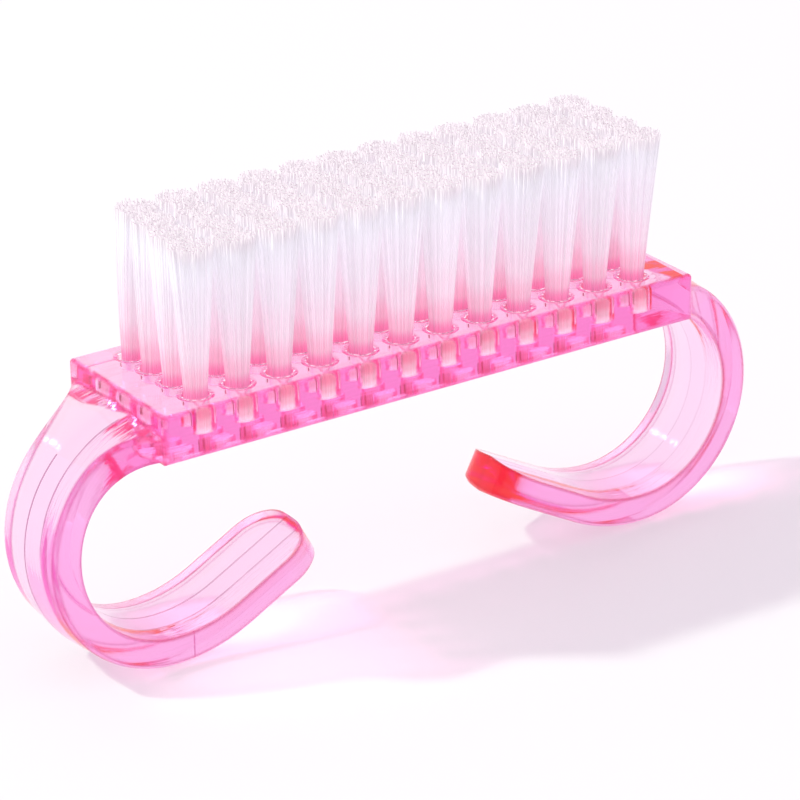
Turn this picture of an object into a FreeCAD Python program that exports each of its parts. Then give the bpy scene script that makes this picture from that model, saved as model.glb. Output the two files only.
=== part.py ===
import FreeCAD, Part
import math
import os
import Sketcher

# Nail brush: a clear moulded block with a finger hook at each end, carrying rows of bristle tufts.
# Millimetres and degrees. +X runs along the block and +Z up. The brush stands on the bottoms of its
# hooks at Z = 0, with the origin midway between them.

# Driving sizes, in the order in which the brush is put together
DRIVING = {
    "hook_radius": 13.6,
    "hook_inset": 3.5,
    "heel_radius": 18.6,
    "heel_angle": 28.0,
    "tail_length": 11.7,
    "strap_width": 11.4,
    "strap_thickness": 3.4,
    "strap_crest": 0.45,
    "flare_inset": 0.6,
    "tip_round": 4.5,
    "hook_chamfer": 0.4,
    "block_length": 71.0,
    "block_width": 20.8,
    "block_height": 5.7,
    "block_overlap": 0.1,
    "block_round": 0.5,
    "columns": 12,
    "rows": 4,
    "end_margin": 6.1,
    "side_margin": 3.7,
    "hole_diameter": 3.1,
    "hole_depth": 3.7,
    "tuft_height": 17.4,
    "tuft_clearance": 0.05,
    "tuft_gap": 0.3,
    "bar_turn": 45,
}

# Sizes that follow from the driving ones
DERIVED = {
    "end_x": "=block_length / 2",
    "side_y": "=block_width / 2",
    "hook_x": "=end_x - hook_inset",
    "crest_half": "=strap_thickness / 2 + strap_crest",
    "hook_z": "=hook_radius + crest_half",
    "root_z": "=hook_z + hook_radius",
    "outer_x": "=hook_x + hook_radius + strap_thickness",
    "tip_x": "=hook_x - heel_radius * sin(heel_angle) - tail_length * cos(heel_angle)",
    "strap_y": "=strap_width / 2",
    "flare_y": "=side_y - flare_inset",
    "flare_end_x": "=hook_x + hook_radius - strap_thickness / 2",
    "flare_half": "=crest_half - strap_crest * flare_y / strap_y",
    "underside_z": "=root_z - crest_half - block_overlap",
    "face_z": "=underside_z + block_height",
    "floor_z": "=face_z - hole_depth",
    "grid_length": "=block_length - 2 * end_margin",
    "grid_width": "=block_width - 2 * side_margin",
    "column_pitch": "=grid_length / (columns - 1)",
    "row_pitch": "=grid_width / (rows - 1)",
    "first_x": "=end_margin - end_x",
    "first_y": "=side_margin - side_y",
    "tuft_length": "=hole_depth + tuft_height",
    "rim_half": "=(hole_diameter / 2 - tuft_clearance) * cos(bar_turn)",
    "top_half": "=(row_pitch - tuft_gap) / 2 * cos(bar_turn)",
    "foot_half": "=rim_half - (top_half - rim_half) * hole_depth / tuft_height",
}

# How near two places lie when they count as one
TOUCHING = 0.01

doc = FreeCAD.newDocument("nail_brush")
sheet = doc.addObject("Spreadsheet::Sheet", "sizes")
for line, (alias, value) in enumerate({**DRIVING, **DERIVED}.items(), start=1):
    sheet.set(f"A{line}", alias)
    sheet.set(f"B{line}", str(value))
    sheet.setAlias(f"B{line}", alias)
doc.recompute()


def size(alias):
    """A size from the sheet as a plain number."""
    value = sheet.get(alias)
    return float(getattr(value, "Value", value))


def tie(item, **bindings):
    """Ties properties of an object to expressions of the sheet; __ in a name stands for a dot."""
    for name, expression in bindings.items():
        item.setExpression(name.replace("__", "."), expression)


def origin_part(body, role):
    """One of the body's own origin planes, by its role."""
    return next(item for item in body.Origin.OriginFeatures if item.Role == role)


def new_sketch(body, name, plane):
    """An empty sketch of the body, on one of the body's origin planes."""
    sketch = body.newObject("Sketcher::SketchObject", name)
    sketch.AttachmentSupport = [(origin_part(body, plane), "")]
    sketch.MapMode = "FlatFace"
    return sketch


def dimension(sketch, name, kind, places, value, expression):
    """Adds a named dimension between places of the sketch and ties it to the sheet."""
    index = sketch.addConstraint(Sketcher.Constraint(kind, *places, value))
    sketch.renameConstraint(index, name)
    sketch.setExpression(f"Constraints.{name}", expression)


def locate(sketch, name, place, alias_x, alias_y):
    """Dimensions a point of the sketch from the origin, by two sizes of the sheet."""
    origin = (-1, 1)
    dimension(sketch, f"{name}_x", "DistanceX", (*origin, *place), size(alias_x), f"sizes.{alias_x}")
    dimension(sketch, f"{name}_y", "DistanceY", (*origin, *place), size(alias_y), f"sizes.{alias_y}")


def straight_sides(points):
    """The straight lines from each point to the next."""
    return [Part.LineSegment(a, b) for a, b in zip(points, points[1:])]


def add_outline(sketch, pieces):
    """Adds lines and arcs to the sketch, each joined to the next and the last to the first."""
    indices = list(sketch.addGeometry(pieces))
    for piece, following in zip(indices, indices[1:] + indices[:1]):
        sketch.addConstraint(Sketcher.Constraint("Coincident", piece, 2, following, 1))
    return indices


def rectangle(sketch, low_x, low_y, length, width):
    """A rectangle in the sketch; its low corner and its sides are expressions of the sheet."""
    corners = [FreeCAD.Vector(x, y, 0) for x, y in ((0, 0), (1, 0), (1, 1), (0, 1), (0, 0))]
    bottom, right, top, left = add_outline(sketch, straight_sides(corners))
    for side in (bottom, top):
        sketch.addConstraint(Sketcher.Constraint("Horizontal", side))
    for side in (right, left):
        sketch.addConstraint(Sketcher.Constraint("Vertical", side))
    dimension(sketch, "length", "DistanceX", (bottom, 1, bottom, 2), 1, length)
    dimension(sketch, "width", "DistanceY", (right, 1, right, 2), 1, width)
    dimension(sketch, "low_x", "DistanceX", (-1, 1, bottom, 1), 0, low_x)
    dimension(sketch, "low_y", "DistanceY", (-1, 1, bottom, 1), 0, low_y)


def cut_through(body, name, sketch):
    """Cuts the sketch's outline right through the body, on the side that the sketch faces."""
    doc.recompute()
    before = body.Shape.Volume
    pocket = body.newObject("PartDesign::Pocket", name)
    pocket.Profile = sketch
    pocket.Type = "ThroughAll"
    pocket.Reversed = True
    doc.recompute()
    if body.Shape.Volume >= before:
        raise RuntimeError(f"{name} cut nothing")


def mirror_all(body, name, plane):
    """Adds the mirror image of all that the body holds so far."""
    mirrored = body.newObject("PartDesign::Mirrored", name)
    mirrored.TransformMode = "Whole shape"
    mirrored.MirrorPlane = (origin_part(body, plane), [""])
    body.Tip = mirrored
    doc.recompute()


def dress_edges(body, kind, name, wanted, **bindings):
    """Puts a fillet or a chamfer on the body's edges for which wanted is true, sized by the sheet."""
    doc.recompute()
    base = body.Tip
    edges = [f"Edge{number}" for number, edge in enumerate(base.Shape.Edges, start=1) if wanted(edge)]
    dressing = body.newObject(f"PartDesign::{kind}", name)
    dressing.Base = (base, edges)
    tie(dressing, **bindings)
    doc.recompute()


def lies_at(edge, **places):
    """Whether the whole edge lies at the given X, Y or Z."""
    return all(
        abs(getattr(point.Point, axis) - place) < TOUCHING
        for point in edge.Vertexes
        for axis, place in places.items()
    )


handle = doc.addObject("PartDesign::Body", "handle")
handle.AllowCompound = True

# The middle line of the right hook, seen from the front: a half turn from its root in the block down to the
# lowest point, the flatter heel and the straight tail
hook_path = new_sketch(handle, "hook_path", "XZ_Plane")
quarter = math.pi / 2
facing = FreeCAD.Vector(0, 0, 1)
heel_turn = math.radians(size("heel_angle"))
loop_centre = FreeCAD.Vector(size("hook_x"), size("hook_z"), 0)
heel_centre = loop_centre + FreeCAD.Vector(0, size("heel_radius") - size("hook_radius"), 0)
loop_arc = Part.ArcOfCircle(Part.Circle(loop_centre, facing, size("hook_radius")), -quarter, quarter)
heel_circle = Part.Circle(heel_centre, facing, size("heel_radius"))
heel_arc = Part.ArcOfCircle(heel_circle, -quarter - heel_turn, -quarter)
tail_way = FreeCAD.Vector(-math.cos(heel_turn), math.sin(heel_turn), 0)
tail_line = Part.LineSegment(heel_arc.StartPoint, heel_arc.StartPoint + tail_way * size("tail_length"))
loop, heel, tail = hook_path.addGeometry([loop_arc, heel_arc, tail_line])
hook_path.addConstraint(Sketcher.Constraint("Tangent", loop, 1, heel, 2))
hook_path.addConstraint(Sketcher.Constraint("Tangent", heel, 1, tail, 1))
hook_path.addConstraint(Sketcher.Constraint("Vertical", loop, 3, loop, 1))
hook_path.addConstraint(Sketcher.Constraint("Vertical", loop, 3, loop, 2))
locate(hook_path, "loop", (loop, 3), "hook_x", "hook_z")
dimension(hook_path, "loop_radius", "Radius", (loop,), size("hook_radius"), "sizes.hook_radius")
dimension(hook_path, "heel_radius", "Radius", (heel,), size("heel_radius"), "sizes.heel_radius")
dimension(hook_path, "tail_length", "Distance", (tail,), size("tail_length"), "sizes.tail_length")
dimension(hook_path, "tail_x", "DistanceX", (-1, 1, tail, 2), size("tip_x"), "sizes.tip_x")

# Half of the hook's section at its root: as broad as the flare, and thickest at the crest along the middle
# of both faces
half_section = new_sketch(handle, "half_section", "YZ_Plane")
tie(half_section, AttachmentOffset__Base__y="sizes.root_z", AttachmentOffset__Base__z="sizes.hook_x")
section_points = [
    FreeCAD.Vector(0, -size("crest_half"), 0),
    FreeCAD.Vector(size("flare_y"), -size("flare_half"), 0),
    FreeCAD.Vector(size("flare_y"), size("flare_half"), 0),
    FreeCAD.Vector(0, size("crest_half"), 0),
    FreeCAD.Vector(0, -size("crest_half"), 0),
]
_, edge_face, _, middle = add_outline(half_section, straight_sides(section_points))
half_section.addConstraint(Sketcher.Constraint("Symmetric", edge_face, 1, edge_face, 2, -1))
half_section.addConstraint(Sketcher.Constraint("Symmetric", middle, 1, middle, 2, -1, 1))
half_section.addConstraint(Sketcher.Constraint("PointOnObject", middle, 1, -2))
locate(half_section, "edge", (edge_face, 2), "flare_y", "flare_half")
dimension(half_section, "crest", "DistanceY", (-1, 1, middle, 1), size("crest_half"), "sizes.crest_half")
half_hook = handle.newObject("PartDesign::AdditivePipe", "half_hook")
half_hook.Profile = half_section
half_hook.Spine = hook_path

# Seen from above, the flare is cut back on a curve from the block's end to the strap's own width
flare_plan = new_sketch(handle, "flare_plan", "XY_Plane")
narrowing = size("flare_y") - size("strap_y")
flare_run = size("flare_end_x") - size("end_x")
flare_radius = (flare_run**2 + narrowing**2) / (2 * narrowing)
flare_centre = FreeCAD.Vector(size("flare_end_x"), size("strap_y") + flare_radius, 0)
flare_turn = math.atan2(narrowing - flare_radius, -flare_run)
flare_arc = Part.ArcOfCircle(Part.Circle(flare_centre, facing, flare_radius), flare_turn, -quarter)
flare_points = [
    flare_arc.EndPoint,
    FreeCAD.Vector(size("outer_x"), size("strap_y"), 0),
    FreeCAD.Vector(size("outer_x"), size("side_y"), 0),
    FreeCAD.Vector(size("end_x"), size("side_y"), 0),
    flare_arc.StartPoint,
]
flare_outline = [flare_arc, *straight_sides(flare_points)]
curve, strap_side, far_end, far_side, block_end = add_outline(flare_plan, flare_outline)
for side in (strap_side, far_side):
    flare_plan.addConstraint(Sketcher.Constraint("Horizontal", side))
for side in (far_end, block_end):
    flare_plan.addConstraint(Sketcher.Constraint("Vertical", side))
flare_plan.addConstraint(Sketcher.Constraint("Vertical", curve, 3, curve, 2))
locate(flare_plan, "flare", (curve, 1), "end_x", "flare_y")
locate(flare_plan, "strap", (curve, 2), "flare_end_x", "strap_y")
locate(flare_plan, "outer", (far_end, 2), "outer_x", "side_y")
cut_through(handle, "flare_cut", flare_plan)

# Below the middle of the loop the strap keeps its own width, all the way to the tip
strap_end_view = new_sketch(handle, "strap_end_view", "YZ_Plane")
rectangle(strap_end_view, "sizes.strap_y", "0", "sizes.side_y - sizes.strap_y", "sizes.hook_z")
cut_through(handle, "strap_cut", strap_end_view)


def is_tip_corner(edge):
    """The short edge down the corner of the tail's end."""
    at_end = abs(edge.CenterOfMass.x - size("tip_x")) < TOUCHING
    return at_end and lies_at(edge, y=size("strap_y"))


def is_outer_edge(edge):
    """The tail's long edge on its outer face, which leads on round the tip and up the loop to the flare."""
    tail_direction = FreeCAD.Vector(tail_way.x, 0, tail_way.y)
    tail_middle_z = (tail_line.StartPoint.y + tail_line.EndPoint.y) / 2
    if not isinstance(edge.Curve, Part.Line) or edge.CenterOfMass.z > tail_middle_z:
        return False
    along_tail = edge.Curve.Direction.cross(tail_direction).Length < TOUCHING
    return along_tail and lies_at(edge, y=size("strap_y"))


dress_edges(handle, "Fillet", "tip", is_tip_corner, Radius="sizes.tip_round")
dress_edges(handle, "Chamfer", "hook_edges", is_outer_edge, Size="sizes.hook_chamfer")
mirror_all(handle, "whole_hook", "XZ_Plane")

# The block, a flat bar that takes in the hooks' roots
block_plan = new_sketch(handle, "block_plan", "XY_Plane")
tie(block_plan, AttachmentOffset__Base__z="sizes.underside_z")
rectangle(block_plan, "0", "-sizes.side_y", "sizes.end_x", "sizes.block_width")
half_block = handle.newObject("PartDesign::Pad", "half_block")
half_block.Profile = block_plan
tie(half_block, Length="sizes.block_height")
mirror_all(handle, "whole_handle", "YZ_Plane")


def is_block_edge(edge):
    """The block's upper edges, its upright corners and its two long lower edges."""
    heights = [point.Z for point in edge.Vertexes]
    long_side = all(abs(abs(point.Y) - size("side_y")) < TOUCHING for point in edge.Vertexes)
    return min(heights) > size("face_z") - TOUCHING or (long_side and min(heights) > size("hook_z"))


dress_edges(handle, "Fillet", "block_edges", is_block_edge, Radius="sizes.block_round")

# Blind holes for the tufts, drilled in a grid into the block's face
hole_plan = new_sketch(handle, "hole_plan", "XY_Plane")
tie(hole_plan, AttachmentOffset__Base__z="sizes.face_z")
hole_centre = FreeCAD.Vector(size("first_x"), size("first_y"), 0)
hole = hole_plan.addGeometry(Part.Circle(hole_centre, facing, size("hole_diameter") / 2))
locate(hole_plan, "hole", (hole, 3), "first_x", "first_y")
dimension(hole_plan, "diameter", "Diameter", (hole,), size("hole_diameter"), "sizes.hole_diameter")
first_hole = handle.newObject("PartDesign::Pocket", "first_hole")
first_hole.Profile = hole_plan
tie(first_hole, Length="sizes.hole_depth")
doc.recompute()
hole_grid = handle.newObject("PartDesign::LinearPattern", "hole_grid")
hole_grid.Originals = [first_hole]
hole_grid.Direction = (hole_plan, ["H_Axis"])
hole_grid.Direction2 = (hole_plan, ["V_Axis"])
tie(hole_grid, Length="sizes.grid_length", Occurrences="sizes.columns")
tie(hole_grid, Length2="sizes.grid_width", Occurrences2="sizes.rows")
handle.Tip = hole_grid


def tapered_bar(name, x, y, turn):
    """A square bar that stands on the floor of a hole and widens upwards, turned about its middle line."""
    bar = doc.addObject("Part::Wedge", name)
    upright = FreeCAD.Rotation(FreeCAD.Vector(1, 0, 0), 90)
    bar.Placement.Rotation = FreeCAD.Rotation(facing, turn) * upright
    tie(bar, Placement__Base__x=x, Placement__Base__y=y, Placement__Base__z="sizes.floor_z")
    tie(bar, Ymin="0", Ymax="sizes.tuft_length")
    for axis in ("X", "Z"):
        bar.setExpression(f"{axis}min", "-sizes.foot_half")
        bar.setExpression(f"{axis}max", "sizes.foot_half")
        bar.setExpression(f"{axis}2min", "-sizes.top_half")
        bar.setExpression(f"{axis}2max", "sizes.top_half")
    return bar


# Each tuft is a bundle of filament that spreads from its hole to the top. Two square bars cross in it, and
# their corners are its eight ribs. Row 1 is the front row and column 1 the left one.
subparts = [handle]
for row in range(round(size("rows"))):
    for column in range(round(size("columns"))):
        place = f"row{row + 1}_col{column + 1:02d}"
        x = f"sizes.first_x + {column} * sizes.column_pitch"
        y = f"sizes.first_y + {row} * sizes.row_pitch"
        tuft = doc.addObject("Part::Fuse", f"tuft_{place}")
        tuft.Refine = True
        tuft.Base = tapered_bar(f"straight_bar_{place}", x, y, 0)
        tuft.Tool = tapered_bar(f"turned_bar_{place}", x, y, size("bar_turn"))
        subparts.append(tuft)
doc.recompute()

failed = [item.Label for item in doc.Objects if {"Invalid", "Error"} & set(item.State)]
failed += [item.Label for item in subparts if item.Shape.isNull() or not item.Shape.isValid()]
if failed:
    raise RuntimeError(f"not built: {failed}")

os.makedirs("parts", exist_ok=True)
for item in subparts:
    item.Shape.exportStep(f"parts/{item.Label}.step")
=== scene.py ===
import math

import bpy
import numpy as np
from mathutils import Matrix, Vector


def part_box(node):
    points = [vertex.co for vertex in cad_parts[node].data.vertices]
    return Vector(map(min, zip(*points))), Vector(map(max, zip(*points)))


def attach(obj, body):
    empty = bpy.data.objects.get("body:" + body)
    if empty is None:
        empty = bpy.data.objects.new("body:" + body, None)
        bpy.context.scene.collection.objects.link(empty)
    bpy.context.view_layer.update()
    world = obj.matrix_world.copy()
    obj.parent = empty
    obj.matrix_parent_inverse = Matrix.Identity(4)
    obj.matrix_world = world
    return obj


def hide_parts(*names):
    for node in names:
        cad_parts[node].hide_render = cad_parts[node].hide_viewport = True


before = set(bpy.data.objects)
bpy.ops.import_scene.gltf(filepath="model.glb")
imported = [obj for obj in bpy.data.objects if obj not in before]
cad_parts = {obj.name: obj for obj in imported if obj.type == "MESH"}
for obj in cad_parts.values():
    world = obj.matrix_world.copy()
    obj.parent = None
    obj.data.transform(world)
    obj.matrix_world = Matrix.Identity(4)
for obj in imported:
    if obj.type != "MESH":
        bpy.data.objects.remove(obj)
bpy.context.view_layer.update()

# The handle
# One clear pink moulding, a flat block with a hook at each end, injection moulded in one shot.
# The plastic is tinted all through, so thin walls are pale and long ways through it turn hot pink.
MM = 0.001
WHITE = (1.0, 1.0, 1.0, 1.0)
BLACK = (0.0, 0.0, 0.0, 1.0)
HOOK_TOP = 26.9 * MM
ON_FACE = 0.05 * MM
PLASTIC_IOR = 1.50
PLASTIC_TINT = (0.99, 0.0, 0.74, 1.0)
PLASTIC_TINT_PER_M = 66.0
PLASTIC_ROUGHNESS = (0.015, 0.05)
PLASTIC_WAVES_PER_M = 180.0
PLASTIC_WAVE_HEIGHT = 0.04 * MM
PLASTIC_WAVE_STRENGTH = 0.7
PLASTIC_WAVE_STRETCH = (1.0, 5.0, 1.0)
BLOCK_TINT = (0.99, 0.965, 0.93, 1.0)


def add_node(tree, kind, inputs=(), **settings):
    """Adds a shader node, sets its properties, and feeds its inputs by name or number.

    An input is joined where a socket is given, and written where a plain value is.
    """
    node = tree.nodes.new(kind)
    for name, value in settings.items():
        setattr(node, name, value)
    for slot, value in dict(inputs).items():
        if isinstance(value, bpy.types.NodeSocket):
            tree.links.new(value, node.inputs[slot])
        else:
            node.inputs[slot].default_value = value
    return node


def new_material(name):
    """A new material with its node tree and its Principled shader."""
    material = bpy.data.materials.new(name)
    material.use_nodes = True
    tree = material.node_tree
    return material, tree, tree.nodes["Principled BSDF"]


def reckon(tree, operation, *values):
    """The result of one sum on sockets and plain numbers."""
    return add_node(tree, "ShaderNodeMath", enumerate(values), operation=operation).outputs[0]


def product(tree, first, *others):
    """Several masks multiplied together."""
    for other in others:
        first = reckon(tree, "MULTIPLY", first, other)
    return first


def ramped(tree, value, span, results=(0.0, 1.0), curve="SMOOTHSTEP"):
    """Goes from the first result to the second as the value crosses the span, and is level outside it."""
    ends = {"From Min": span[0], "From Max": span[1], "To Min": results[0], "To Max": results[1]}
    node = add_node(tree, "ShaderNodeMapRange", {"Value": value, **ends}, interpolation_type=curve)
    return node.outputs["Result"]


def mixed_colour(tree, factor, first, second, way="MIX"):
    """Lays the second colour over the first as far as the factor goes, plainly or in another way."""
    inputs = {0: factor, 6: first, 7: second}
    return add_node(tree, "ShaderNodeMix", inputs, data_type="RGBA", blend_type=way).outputs[2]


def mixed(tree, factor, first, second):
    """The second shader where the factor is one, and the first where it is nought."""
    return add_node(tree, "ShaderNodeMixShader", {0: factor, 1: first, 2: second}).outputs[0]


def uneven_polish():
    """A node group: noise over the piece, and a roughness that rises with it from Smooth to Rough."""
    group = bpy.data.node_groups.new("uneven_polish", "ShaderNodeTree")
    group.interface.new_socket("Vector", in_out="INPUT", socket_type="NodeSocketVector")
    for name in ("Scale", "Smooth", "Rough"):
        group.interface.new_socket(name, in_out="INPUT", socket_type="NodeSocketFloat")
    for name in ("Noise", "Roughness"):
        group.interface.new_socket(name, in_out="OUTPUT", socket_type="NodeSocketFloat")
    given = add_node(group, "NodeGroupInput").outputs
    texture = add_node(group, "ShaderNodeTexNoise", {"Vector": given["Vector"], "Scale": given["Scale"]})
    noise = texture.outputs["Fac"]
    roughness = ramped(group, noise, (0.0, 1.0), (given["Smooth"], given["Rough"]), "LINEAR")
    add_node(group, "NodeGroupOutput", {"Noise": noise, "Roughness": roughness})
    return group


def polished(tree, group, place, per_m, roughness):
    """Places the group in a material, with its own pattern size and range of roughness."""
    inputs = {"Vector": place, "Scale": per_m, "Smooth": roughness[0], "Rough": roughness[1]}
    return add_node(tree, "ShaderNodeGroup", inputs, node_tree=group).outputs


plastic, tree, shader = new_material("clear_pink_plastic")
shader.inputs["Transmission Weight"].default_value = 1.0
shader.inputs["IOR"].default_value = PLASTIC_IOR
place = add_node(tree, "ShaderNodeTexCoord").outputs["Object"]
split = add_node(tree, "ShaderNodeSeparateXYZ", {"Vector": place})
along, across, height = split.outputs
below_block = reckon(tree, "LESS_THAN", height, HOOK_TOP)
stretch = {0: place, 1: PLASTIC_WAVE_STRETCH}
stretched = add_node(tree, "ShaderNodeVectorMath", stretch, operation="MULTIPLY").outputs[0]
polish_group = uneven_polish()
polish = polished(tree, polish_group, stretched, PLASTIC_WAVES_PER_M, PLASTIC_ROUGHNESS)

# In the holes the plastic is duller than outside, and a patchy painted pink glow lights the lowest
# millimetre of each.
# A ragged lip of plastic stands round each rim, and spots on it give off painted white glints.
HOLE_ROUGHNESS = 0.14
RIM_FLASH = (1.6 * MM, 2.2 * MM)
RIM_FLASH_HEIGHT = 0.5 * MM
RIM_FLASH_PER_M = 2200.0
RIM_PAINTED_GLINT = (0.5, 0.6)
PAINTED_GLINT_LEVEL = 0.6
HOLE_PAINTED_GLOW = (1.0 * MM, 0.1 * MM)
HOLE_PAINTED_GLOW_COLOUR = (0.7, 0.22, 0.45, 1.0)
first_low, first_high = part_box("tuft_row1_col01")
next_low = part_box("tuft_row2_col02")[0]
last_low, last_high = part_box("tuft_row4_col12")
offsets = []
among_holes = []
for axis in range(2):
    pitch = next_low[axis] - first_low[axis]
    centre = (first_low[axis] + first_high[axis]) / 2
    nearest = reckon(tree, "WRAP", split.outputs[axis], centre + pitch / 2, centre - pitch / 2)
    offsets.append(reckon(tree, "SUBTRACT", nearest, centre))
    far_side = (last_low[axis] + last_high[axis]) / 2 + RIM_FLASH[1]
    among_holes.append(reckon(tree, "COMPARE", split.outputs[axis], 0.0, far_side))
from_hole = add_node(tree, "ShaderNodeCombineXYZ", enumerate(offsets)).outputs[0]
reach = add_node(tree, "ShaderNodeVectorMath", {0: from_hole}, operation="LENGTH").outputs["Value"]
near_hole = product(tree, ramped(tree, reach, RIM_FLASH[::-1]), *among_holes)
in_hole = product(tree, near_hole, reckon(tree, "GREATER_THAN", height, first_low.z - ON_FACE))
dull = {0: in_hole, 2: polish["Roughness"], 3: HOLE_ROUGHNESS}
drilled = add_node(tree, "ShaderNodeMix", dull, data_type="FLOAT")
tree.links.new(drilled.outputs[0], shader.inputs["Roughness"])
ragged = add_node(tree, "ShaderNodeTexNoise", {"Vector": place, "Scale": RIM_FLASH_PER_M}).outputs["Fac"]
on_face = reckon(tree, "GREATER_THAN", height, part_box("handle")[1].z - ON_FACE)
flash = product(tree, near_hole, ragged, on_face)
# Painted light: a pink glow at the bottom of each hole and white glints on the lip, both given off as
# emission.
hole_painted_glow = ramped(tree, height, [first_low.z + rise for rise in HOLE_PAINTED_GLOW])
hole_painted_glow = product(tree, hole_painted_glow, in_hole, ragged)
painted_glints = mixed_colour(tree, hole_painted_glow, BLACK, HOLE_PAINTED_GLOW_COLOUR)
painted_glints = mixed_colour(tree, ramped(tree, flash, RIM_PAINTED_GLINT), painted_glints, WHITE)
tree.links.new(painted_glints, shader.inputs["Emission Color"])
shader.inputs["Emission Strength"].default_value = PAINTED_GLINT_LEVEL

# Edges are softly rounded, and a painted dark line of shade runs along them, kept off the rims of the
# holes.
# A fine crest runs along the middle of each hook with a painted dark line on it, stronger towards the left.
# One witness line of the mould crosses the front of the left heel in the same dark colour, and faint waves
# cover all.
EDGE_RADIUS = 0.7 * MM
EDGE_SAMPLES = 4
EDGE_SHADE_AND_SEAM_COLOUR = (0.52, 0.06, 0.24, 1.0)
EDGE_TURN = (0.015, 0.11)
CREST_PAINTED_SHADE = (0.32, 0.08, 0.2, 1.0)
CREST_WIDTH = (0.06 * MM, 0.18 * MM)
CREST_SHARP = (1.0, 0.2)
SEAM_PLACE = -30.2 * MM
SEAM_HALF_WIDTH = 0.07 * MM
SEAM_TOP = 4.5 * MM
SEAM_SIDE = -5.4 * MM


def bumped(tree, normal, height, distance, strength=1.0):
    """The normal with a height laid over it, where a height of one stands out by the distance."""
    inputs = {"Normal": normal, "Height": height, "Distance": distance, "Strength": strength}
    return add_node(tree, "ShaderNodeBump", inputs).outputs["Normal"]


rounded = add_node(tree, "ShaderNodeBevel", {"Radius": EDGE_RADIUS}, samples=EDGE_SAMPLES).outputs["Normal"]
rippled = bumped(tree, rounded, polish["Noise"], PLASTIC_WAVE_HEIGHT, PLASTIC_WAVE_STRENGTH)
tree.links.new(bumped(tree, rippled, flash, RIM_FLASH_HEIGHT), shader.inputs["Normal"])
flat = add_node(tree, "ShaderNodeNewGeometry").outputs["Normal"]
turned = add_node(tree, "ShaderNodeVectorMath", {0: rounded, 1: flat}, operation="DOT_PRODUCT")
# Painted shade: the base colour darkens where the rounded normal turns away from the flat one.
edge_shade = ramped(tree, turned.outputs["Value"], [1 - turn for turn in EDGE_TURN])
clear_of_hole = reckon(tree, "SUBTRACT", 1.0, near_hole)
edge_shade = product(tree, edge_shade, reckon(tree, "MAXIMUM", clear_of_hole, below_block))
seam = product(
    tree,
    reckon(tree, "COMPARE", along, SEAM_PLACE, SEAM_HALF_WIDTH),
    reckon(tree, "LESS_THAN", height, SEAM_TOP),
    reckon(tree, "LESS_THAN", across, SEAM_SIDE),
)
# The crest's dark line is painted shade, weaker towards the right end.
crest_shade = ramped(tree, reckon(tree, "ABSOLUTE", across), CREST_WIDTH[::-1])
sharp = ramped(tree, along, [corner.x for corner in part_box("handle")], CREST_SHARP, "LINEAR")
crest_shade = product(tree, crest_shade, below_block, sharp)
colour = mixed_colour(tree, below_block, BLOCK_TINT, WHITE)
colour = mixed_colour(tree, reckon(tree, "MAXIMUM", edge_shade, seam), colour, EDGE_SHADE_AND_SEAM_COLOUR)
colour = mixed_colour(tree, crest_shade, colour, CREST_PAINTED_SHADE)
tree.links.new(colour, shader.inputs["Base Color"])

# Light paths thrown back many times inside, or crossing the plastic too often, end in a painted glow of the
# tint's
# strong colour: red in the hooks, pink at the left hook's outer end, and hot pink in the block.
# Light that falls on the floor behind goes straight through, and less of it near the outline.
PLASTIC_DEEP_GLOW = (1.0, 0.2, 0.06, 1.0)
PLASTIC_DEEP_GLOW_OUTER = (1.0, 0.5, 0.85, 1.0)
PLASTIC_DEEP_GLOW_BLOCK = (1.0, 0.15, 0.36, 1.0)
DEEP_GLOW_REACH = (-35 * MM, -39 * MM)
INNER_REFLECTIONS = 3.5
LAST_CROSSING = 10.5
PLASTIC_SHADOW = (0.99, 0.74, 0.9, 1.0)
PLASTIC_SHADOW_EDGE = (0.35, 0.1, 0.25, 1.0)
SHADOW_BLEND = 0.5
hook_glow_colour = mixed_colour(tree, ramped(tree, along, DEEP_GLOW_REACH), PLASTIC_DEEP_GLOW, PLASTIC_DEEP_GLOW_OUTER)
deep_glow_colour = mixed_colour(tree, below_block, PLASTIC_DEEP_GLOW_BLOCK, hook_glow_colour)
deep_glow = add_node(tree, "ShaderNodeEmission", {"Color": deep_glow_colour}).outputs["Emission"]
light_path = add_node(tree, "ShaderNodeLightPath").outputs
thrown_back = reckon(tree, "GREATER_THAN", light_path["Glossy Depth"], INNER_REFLECTIONS)
ended = reckon(tree, "GREATER_THAN", light_path["Ray Depth"], LAST_CROSSING)
body = mixed(tree, reckon(tree, "MAXIMUM", thrown_back, ended), shader.outputs["BSDF"], deep_glow)
slant = add_node(tree, "ShaderNodeLayerWeight", {"Blend": SHADOW_BLEND}).outputs["Facing"]
shadow_colour = mixed_colour(tree, slant, PLASTIC_SHADOW, PLASTIC_SHADOW_EDGE)
passed = add_node(tree, "ShaderNodeBsdfTransparent", {"Color": shadow_colour}).outputs["BSDF"]
surface = mixed(tree, light_path["Is Shadow Ray"], body, passed)
tint = add_node(tree, "ShaderNodeVolumeAbsorption", {"Color": PLASTIC_TINT, "Density": PLASTIC_TINT_PER_M})
tree.links.new(surface, tree.nodes["Material Output"].inputs["Surface"])
tree.links.new(tint.outputs["Volume"], tree.nodes["Material Output"].inputs["Volume"])
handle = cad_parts["handle"]
handle.data.materials.clear()
handle.data.materials.append(plastic)

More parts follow.
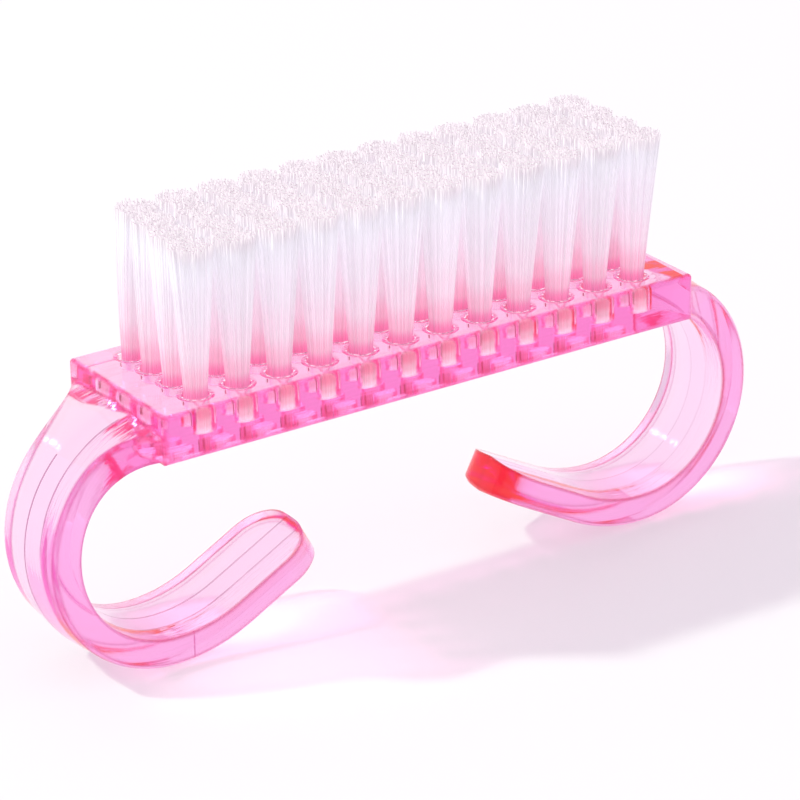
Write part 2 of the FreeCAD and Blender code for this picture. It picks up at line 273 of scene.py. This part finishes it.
# The bristle tufts
# Bundles of milky nylon filament, each folded in two and driven into its own blind hole of the block.
# The filaments spread a little above the hole and were cut level, so the tops are fuzzy but flat.
FILAMENTS = 240
FILAMENT_SIDES = 4
FILAMENT_RADIUS = 0.095 * MM
STATIONS = np.array([0.0, 0.1, 0.18, 0.42, 0.72, 1.0])
RIM_SHARE = 0.175
FOOT_SPREAD = 1.08
RIM_RADIUS = 1.22 * MM
TOP_RADIUS = 2.4 * MM
TOP_JITTER = 0.08 * MM
STRAY_SHARE = 0.08
STRAY_SPREAD = 0.5 * MM
SHORT_SHARE = 0.03
SHORT_BY = 1.2 * MM
LEAN = 0.14 * MM
LEAN_CURVE = 1.6
LEFT_LEANS = (-0.05 * MM, 1.4 * MM)
RIGHT_LEAN = 0.7 * MM
BRISTLE_SEED = 48
BRISTLE_SHADES = (0.9, 1.0)
# Up the tuft the colour holds painted light: pale at the foot deep in the hole, then pink round the rim,
# where light from the plastic falls on the nylon, fading into the nylon's milky white above.
BRISTLE_COLOURS_AND_PAINTED_LIGHT = {
    0.0: (1.0, 0.93, 0.96, 1.0),
    0.05: (0.98, 0.74, 0.83, 1.0),
    0.1: (0.95, 0.46, 0.62, 1.0),
    0.18: (0.93, 0.37, 0.62, 1.0),
    0.26: (0.91, 0.63, 0.75, 1.0),
    0.42: (0.89, 0.77, 0.84, 1.0),
    0.66: (0.87, 0.82, 0.87, 1.0),
    0.9: (0.89, 0.87, 0.91, 1.0),
    1.0: (0.88, 0.82, 0.86, 1.0),
}
BRISTLE_PAINTED_GLOW = 0.39
BRISTLE_ROUGHNESS = 0.35
BRISTLE_TRANSLUCENCY = 0.3
CUT_COLOUR = (0.14, 0.06, 0.1, 1.0)
CUT_SHADE_CURVE = 2
GOLDEN_TURN = math.pi * (3 - math.sqrt(5))
outermost = [(last_low[axis] + last_high[axis]) / 2 for axis in range(2)]
tufts = sorted(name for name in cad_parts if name.startswith("tuft_"))
rows = sorted({name.split("_")[1] for name in tufts})


def filament_paths(node, rng):
    """Middle lines of one tuft's filaments, as an array of filament, station, XYZ.

    The feet lie on a sunflower spiral inside the hole. Each filament rises to the tuft's top, and its
    distance from the tuft's middle stays much the same in the hole and grows with height above it.
    """
    low, high = (np.array(corner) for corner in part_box(node))
    middle = (low + high) / 2
    count = np.arange(FILAMENTS)
    turn = count * GOLDEN_TURN + rng.uniform(0, 2 * math.pi)
    share = np.sqrt((count + 0.5) / FILAMENTS)
    radius = np.interp(STATIONS, [0, RIM_SHARE, 1], [RIM_RADIUS * FOOT_SPREAD, RIM_RADIUS, TOP_RADIUS])
    stray = STRAY_SPREAD * rng.random(FILAMENTS) * (rng.random(FILAMENTS) < STRAY_SHARE)
    out = share[:, None] * radius[None, :] + stray[:, None] * STATIONS
    to_right, to_back = (np.interp(middle[axis], (-far, far), (0, 1)) for axis, far in enumerate(outermost))
    leaning = (1 - to_right) * np.interp(to_back, (0, 1), LEFT_LEANS) + to_right * RIGHT_LEAN
    lean = rng.normal(0, LEAN, (FILAMENTS, 2)) + [leaning, 0]
    lean = lean[:, None, :] * (STATIONS**LEAN_CURVE)[None, :, None]
    tops = high[2] - np.abs(rng.normal(0, TOP_JITTER, FILAMENTS))
    tops -= SHORT_BY * rng.random(FILAMENTS) * (rng.random(FILAMENTS) < SHORT_SHARE)
    path = np.empty((FILAMENTS, len(STATIONS), 3))
    path[..., 0] = middle[0] + out * np.cos(turn)[:, None] + lean[..., 0]
    path[..., 1] = middle[1] + out * np.sin(turn)[:, None] + lean[..., 1]
    path[..., 2] = low[2] + STATIONS[None, :] * (tops - low[2])[:, None]
    return path


def ring_walls(index):
    """Quads between rings of points: two points side by side on one ring, and the same two on the next."""
    beside = np.roll(index, -1, axis=2)
    return np.stack([index[:, :-1], beside[:, :-1], beside[:, 1:], index[:, 1:]], axis=-1).reshape(-1, 4)


def tube_mesh(name, paths, shades, cut_shades):
    """A mesh of closed tubes: a small level polygon of the filament's radius carried along each path.

    The quads join each polygon to the next one up, and one face closes each end.
    """
    filaments, stations, _ = paths.shape
    angle = 2 * math.pi * (np.arange(FILAMENT_SIDES) + 0.5) / FILAMENT_SIDES
    ring = np.stack([np.cos(angle), np.sin(angle), np.zeros(FILAMENT_SIDES)], axis=1) * FILAMENT_RADIUS
    points = paths[:, :, None, :] + ring[None, None, :, :]
    index = np.arange(points.size // 3).reshape(filaments, stations, FILAMENT_SIDES)
    caps = np.stack([index[:, 0, ::-1], index[:, -1]], axis=1).reshape(-1, FILAMENT_SIDES)
    faces = np.concatenate([ring_walls(index), caps])
    mesh = bpy.data.meshes.new(name)
    mesh.vertices.add(points.size // 3)
    mesh.vertices.foreach_set("co", points.ravel())
    mesh.loops.add(faces.size)
    mesh.loops.foreach_set("vertex_index", faces.ravel())
    mesh.polygons.add(len(faces))
    mesh.polygons.foreach_set("loop_start", np.arange(0, faces.size, FILAMENT_SIDES))
    mesh.polygons.foreach_set("loop_total", np.full(len(faces), FILAMENT_SIDES))
    mesh.update(calc_edges=True)
    mesh.polygons.foreach_set("use_smooth", np.arange(len(faces)) < len(faces) - len(caps))
    strand_shade = mesh.attributes.new("strand_shade", "FLOAT", "POINT")
    strand_shade.data.foreach_set("value", np.repeat(shades, stations * FILAMENT_SIDES))
    cut = np.zeros(len(faces))
    cut[-len(caps) :] = np.stack([np.zeros(filaments), cut_shades], axis=1).ravel()
    cut_end = mesh.attributes.new("cut_end", "FLOAT", "FACE")
    cut_end.data.foreach_set("value", cut)
    return mesh


def new_object(name, data):
    """An object at the origin, in the scene."""
    made = bpy.data.objects.new(name, data)
    bpy.context.scene.collection.objects.link(made)
    return made


nylon, tree, shader = new_material("milky_nylon_filament")
place = add_node(tree, "ShaderNodeTexCoord").outputs["Object"]
height = add_node(tree, "ShaderNodeSeparateXYZ", {"Vector": place}).outputs["Z"]
rise = ramped(tree, height, (first_low.z, first_high.z), curve="LINEAR")
milk_and_painted_light = add_node(tree, "ShaderNodeValToRGB", {"Fac": rise})
milk_and_painted_light.color_ramp.interpolation = "EASE"
for share in list(BRISTLE_COLOURS_AND_PAINTED_LIGHT)[1:-1]:
    milk_and_painted_light.color_ramp.elements.new(share)
for element, colour in zip(milk_and_painted_light.color_ramp.elements, BRISTLE_COLOURS_AND_PAINTED_LIGHT.values()):
    element.color = colour
strand_shade = add_node(tree, "ShaderNodeAttribute", attribute_name="strand_shade").outputs["Fac"]
cut_end = add_node(tree, "ShaderNodeAttribute", attribute_name="cut_end").outputs["Fac"]
strand = mixed_colour(tree, 1.0, milk_and_painted_light.outputs["Color"], strand_shade, "MULTIPLY")
colour = mixed_colour(tree, cut_end, strand, CUT_COLOUR)
tree.links.new(colour, shader.inputs["Base Color"])
# The filaments give off a painted glow of their own colour, standing for light scattered through the nylon.
tree.links.new(colour, shader.inputs["Emission Color"])
shader.inputs["Emission Strength"].default_value = BRISTLE_PAINTED_GLOW
shader.inputs["Roughness"].default_value = BRISTLE_ROUGHNESS
through = add_node(tree, "ShaderNodeBsdfTranslucent", {"Color": strand}).outputs["BSDF"]
surface = mixed(tree, BRISTLE_TRANSLUCENCY, shader.outputs["BSDF"], through)
tree.links.new(surface, tree.nodes["Material Output"].inputs["Surface"])

rng = np.random.default_rng(BRISTLE_SEED)
for row in rows:
    nodes = [name for name in tufts if name.startswith(f"tuft_{row}_")]
    paths = np.concatenate([filament_paths(node, rng) for node in nodes])
    shades = rng.uniform(*BRISTLE_SHADES, len(paths))
    cut_shades = rng.random(len(paths)) ** CUT_SHADE_CURVE
    bristles = new_object(f"bristles_{row}", tube_mesh(f"bristles_{row}", paths, shades, cut_shades))
    bristles.data.materials.append(nylon)
    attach(bristles, "root")
    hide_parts(*nodes)

# The staples
# Short flat steel wires, one across each hole. The filling machine folds a bundle over the wire and punches
# both in, and the wire's left end meets the wall of the hole, where it shows as a dark stroke.
STAPLE_LENGTH = 2.6 * MM
STAPLE_SHIFT = -0.28 * MM
STAPLE_HEIGHT = 1.4 * MM
STAPLE_THICKNESS = 0.18 * MM
STAPLE_RISE = 0.6 * MM
STAPLE_BOW = 0.3 * MM
STAPLE_STATIONS = 7
STAPLE_CORNERS = 8
STAPLE_FLATNESS = 1.3
# The steel has a painted dark pink-red cast, a painted reflection of the pink plastic round it, and its
# tone varies at random over it.
WIRE_TONES_AND_PAINTED_PINK = ((0.5, 0.16, 0.21, 1.0), (0.7, 0.34, 0.4, 1.0))
WIRE_ROUGHNESS = (0.28, 0.5)
WIRE_GRAIN_PER_M = 1500.0


def staple_points(node):
    """One staple as a grid: a flat eight-cornered profile carried along a path that bows up at both ends.

    The profile is a circle's corners, stretched and cut off at the wire's thickness and height.
    """
    low, high = (np.array(corner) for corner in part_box(node))
    along = np.linspace(-0.5, 0.5, STAPLE_STATIONS)
    corner = 2 * math.pi * (np.arange(STAPLE_CORNERS) + 0.5) / STAPLE_CORNERS
    wide, tall = (np.clip(STAPLE_FLATNESS * turn, -1, 1) / 2 for turn in (np.cos(corner), np.sin(corner)))
    rise = STAPLE_RISE + STAPLE_HEIGHT / 2 + STAPLE_BOW * (2 * along) ** 2
    points = np.empty((STAPLE_STATIONS, STAPLE_CORNERS, 3))
    points[..., 0] = (low[0] + high[0]) / 2 + STAPLE_SHIFT + STAPLE_LENGTH * along[:, None]
    points[..., 1] = (low[1] + high[1]) / 2 + STAPLE_THICKNESS * wide[None, :]
    points[..., 2] = low[2] + rise[:, None] + STAPLE_HEIGHT * tall[None, :]
    return points


wire, tree, shader = new_material("flat_steel_wire")
shader.inputs["Metallic"].default_value = 1.0
place = add_node(tree, "ShaderNodeTexCoord").outputs["Object"]
grain = polished(tree, polish_group, place, WIRE_GRAIN_PER_M, WIRE_ROUGHNESS)
tree.links.new(mixed_colour(tree, grain["Noise"], *WIRE_TONES_AND_PAINTED_PINK), shader.inputs["Base Color"])
tree.links.new(grain["Roughness"], shader.inputs["Roughness"])
grid = np.array([staple_points(node) for node in tufts])
index = np.arange(grid.size // 3).reshape(grid.shape[:3])
ends = np.concatenate([index[:, 0, ::-1], index[:, -1]])
staple_mesh = bpy.data.meshes.new("staples")
staple_mesh.from_pydata(grid.reshape(-1, 3).tolist(), [], ring_walls(index).tolist() + ends.tolist())
staples = new_object("staples", staple_mesh)
staples.data.materials.append(wire)
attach(staples, "root")

# The sheet it stands on
# A wide sheet of white paper, laid flat. To the eye it is lifted towards white, as in an evenly lit studio,
# and it keeps the brush's shadow. What it throws back on the brush stays as it is.
FLOOR_REACH = 3.0
FLOOR_ALBEDO = (0.95, 0.95, 0.95, 1.0)
FLOOR_ROUGHNESS = 0.9
FLOOR_SHINE = 0.1
FLOOR_LIFT = 0.36
FLOOR_LIFT_COLOUR = (1.0, 0.95, 1.0, 1.0)


def seen_directly(tree):
    """One for a look, straight or by a reflection or through clear plastic, and nought for lighting."""
    light_path = add_node(tree, "ShaderNodeLightPath").outputs
    seen = reckon(tree, "MAXIMUM", light_path["Is Camera Ray"], light_path["Is Glossy Ray"])
    return reckon(tree, "MAXIMUM", seen, light_path["Is Transmission Ray"])


paper, tree, shader = new_material("white_paper")
shader.inputs["Base Color"].default_value = FLOOR_ALBEDO
shader.inputs["Roughness"].default_value = FLOOR_ROUGHNESS
shader.inputs["Specular IOR Level"].default_value = FLOOR_SHINE
lift = add_node(tree, "ShaderNodeEmission", {"Color": FLOOR_LIFT_COLOUR}).outputs["Emission"]
lifted = mixed(tree, FLOOR_LIFT, shader.outputs["BSDF"], lift)
surface = mixed(tree, seen_directly(tree), shader.outputs["BSDF"], lifted)
tree.links.new(surface, tree.nodes["Material Output"].inputs["Surface"])
corners = np.array([(-1, -1, 0), (1, -1, 0), (1, 1, 0), (-1, 1, 0)]) * FLOOR_REACH
floor_mesh = bpy.data.meshes.new("floor")
floor_mesh.from_pydata(corners.tolist(), [], [(0, 1, 2, 3)])
floor = new_object("floor", floor_mesh)
floor.data.materials.append(paper)

# The light
# An even pale room, which is white where it is looked at, and one small window high on the left and behind.
# The window gives the shadow its direction and its fairly crisp edge.
SKY_LEVEL = 0.78
SKY_COLOUR = (0.97, 0.87, 1.0, 1.0)
WINDOW_PLACE = (-1.54, 0.86, 1.9)
WINDOW_AIM = (0.0, 0.0, 0.02)
WINDOW_SIZE = 0.14
WINDOW_WATTS = 36.5
WINDOW_COLOUR = (0.88, 1.0, 0.86)


def stood(right, up, back, place):
    """The matrix of a lamp or camera at a place, with its right, top and back in the given directions."""
    matrix = np.identity(4)
    matrix[:3] = np.stack([right, up, back, place], axis=1)
    return Matrix(matrix.tolist())


world = bpy.data.worlds.new("soft_room")
bpy.context.scene.world = world
world.use_nodes = True
sky = world.node_tree
dim = sky.nodes["Background"]
dim.inputs["Color"].default_value = SKY_COLOUR
dim.inputs["Strength"].default_value = SKY_LEVEL
bright = add_node(sky, "ShaderNodeBackground", {"Color": WHITE, "Strength": 1.0})
look = mixed(sky, seen_directly(sky), dim.outputs[0], bright.outputs[0])
sky.links.new(look, sky.nodes["World Output"].inputs["Surface"])
light = bpy.data.lights.new("window", "AREA")
light.size = WINDOW_SIZE
light.energy = WINDOW_WATTS
light.color = WINDOW_COLOUR
window = new_object("window", light)
window.visible_transmission = False
window.visible_camera = False
back = np.subtract(WINDOW_PLACE, WINDOW_AIM)
back /= np.linalg.norm(back)
right = np.cross((0, 0, 1), back)
right /= np.linalg.norm(right)
window.matrix_world = stood(right, np.cross(back, right), back, WINDOW_PLACE)

# The camera
# A long lens at the photograph's angle, in front of the brush, to its left and a little above it.
CAMERA_PLACE = (-232.77 * MM, -354.87 * MM, 204.91 * MM)
CAMERA_TURN = math.radians(-33.43)
CAMERA_RISE = math.radians(23.28)
CAMERA_ROLL = math.radians(-1.05)
CAMERA_LENS = 182.34
CAMERA_SENSOR = 36.0
CAMERA_NEAR = 10 * MM
lens = bpy.data.cameras.new("camera")
lens.lens = CAMERA_LENS
lens.sensor_width = CAMERA_SENSOR
lens.clip_start = CAMERA_NEAR
camera = new_object("camera", lens)
level_back = np.array([math.sin(CAMERA_TURN), -math.cos(CAMERA_TURN), 0.0])
level_right = np.array([math.cos(CAMERA_TURN), math.sin(CAMERA_TURN), 0.0])
back = level_back * math.cos(CAMERA_RISE) + np.array([0.0, 0.0, math.sin(CAMERA_RISE)])
upright = np.cross(back, level_right)
right = level_right * math.cos(CAMERA_ROLL) + upright * math.sin(CAMERA_ROLL)
up = upright * math.cos(CAMERA_ROLL) - level_right * math.sin(CAMERA_ROLL)
camera.matrix_world = stood(right, up, back, CAMERA_PLACE)
bpy.context.scene.camera = camera
bpy.context.scene.view_settings.view_transform = "Standard"
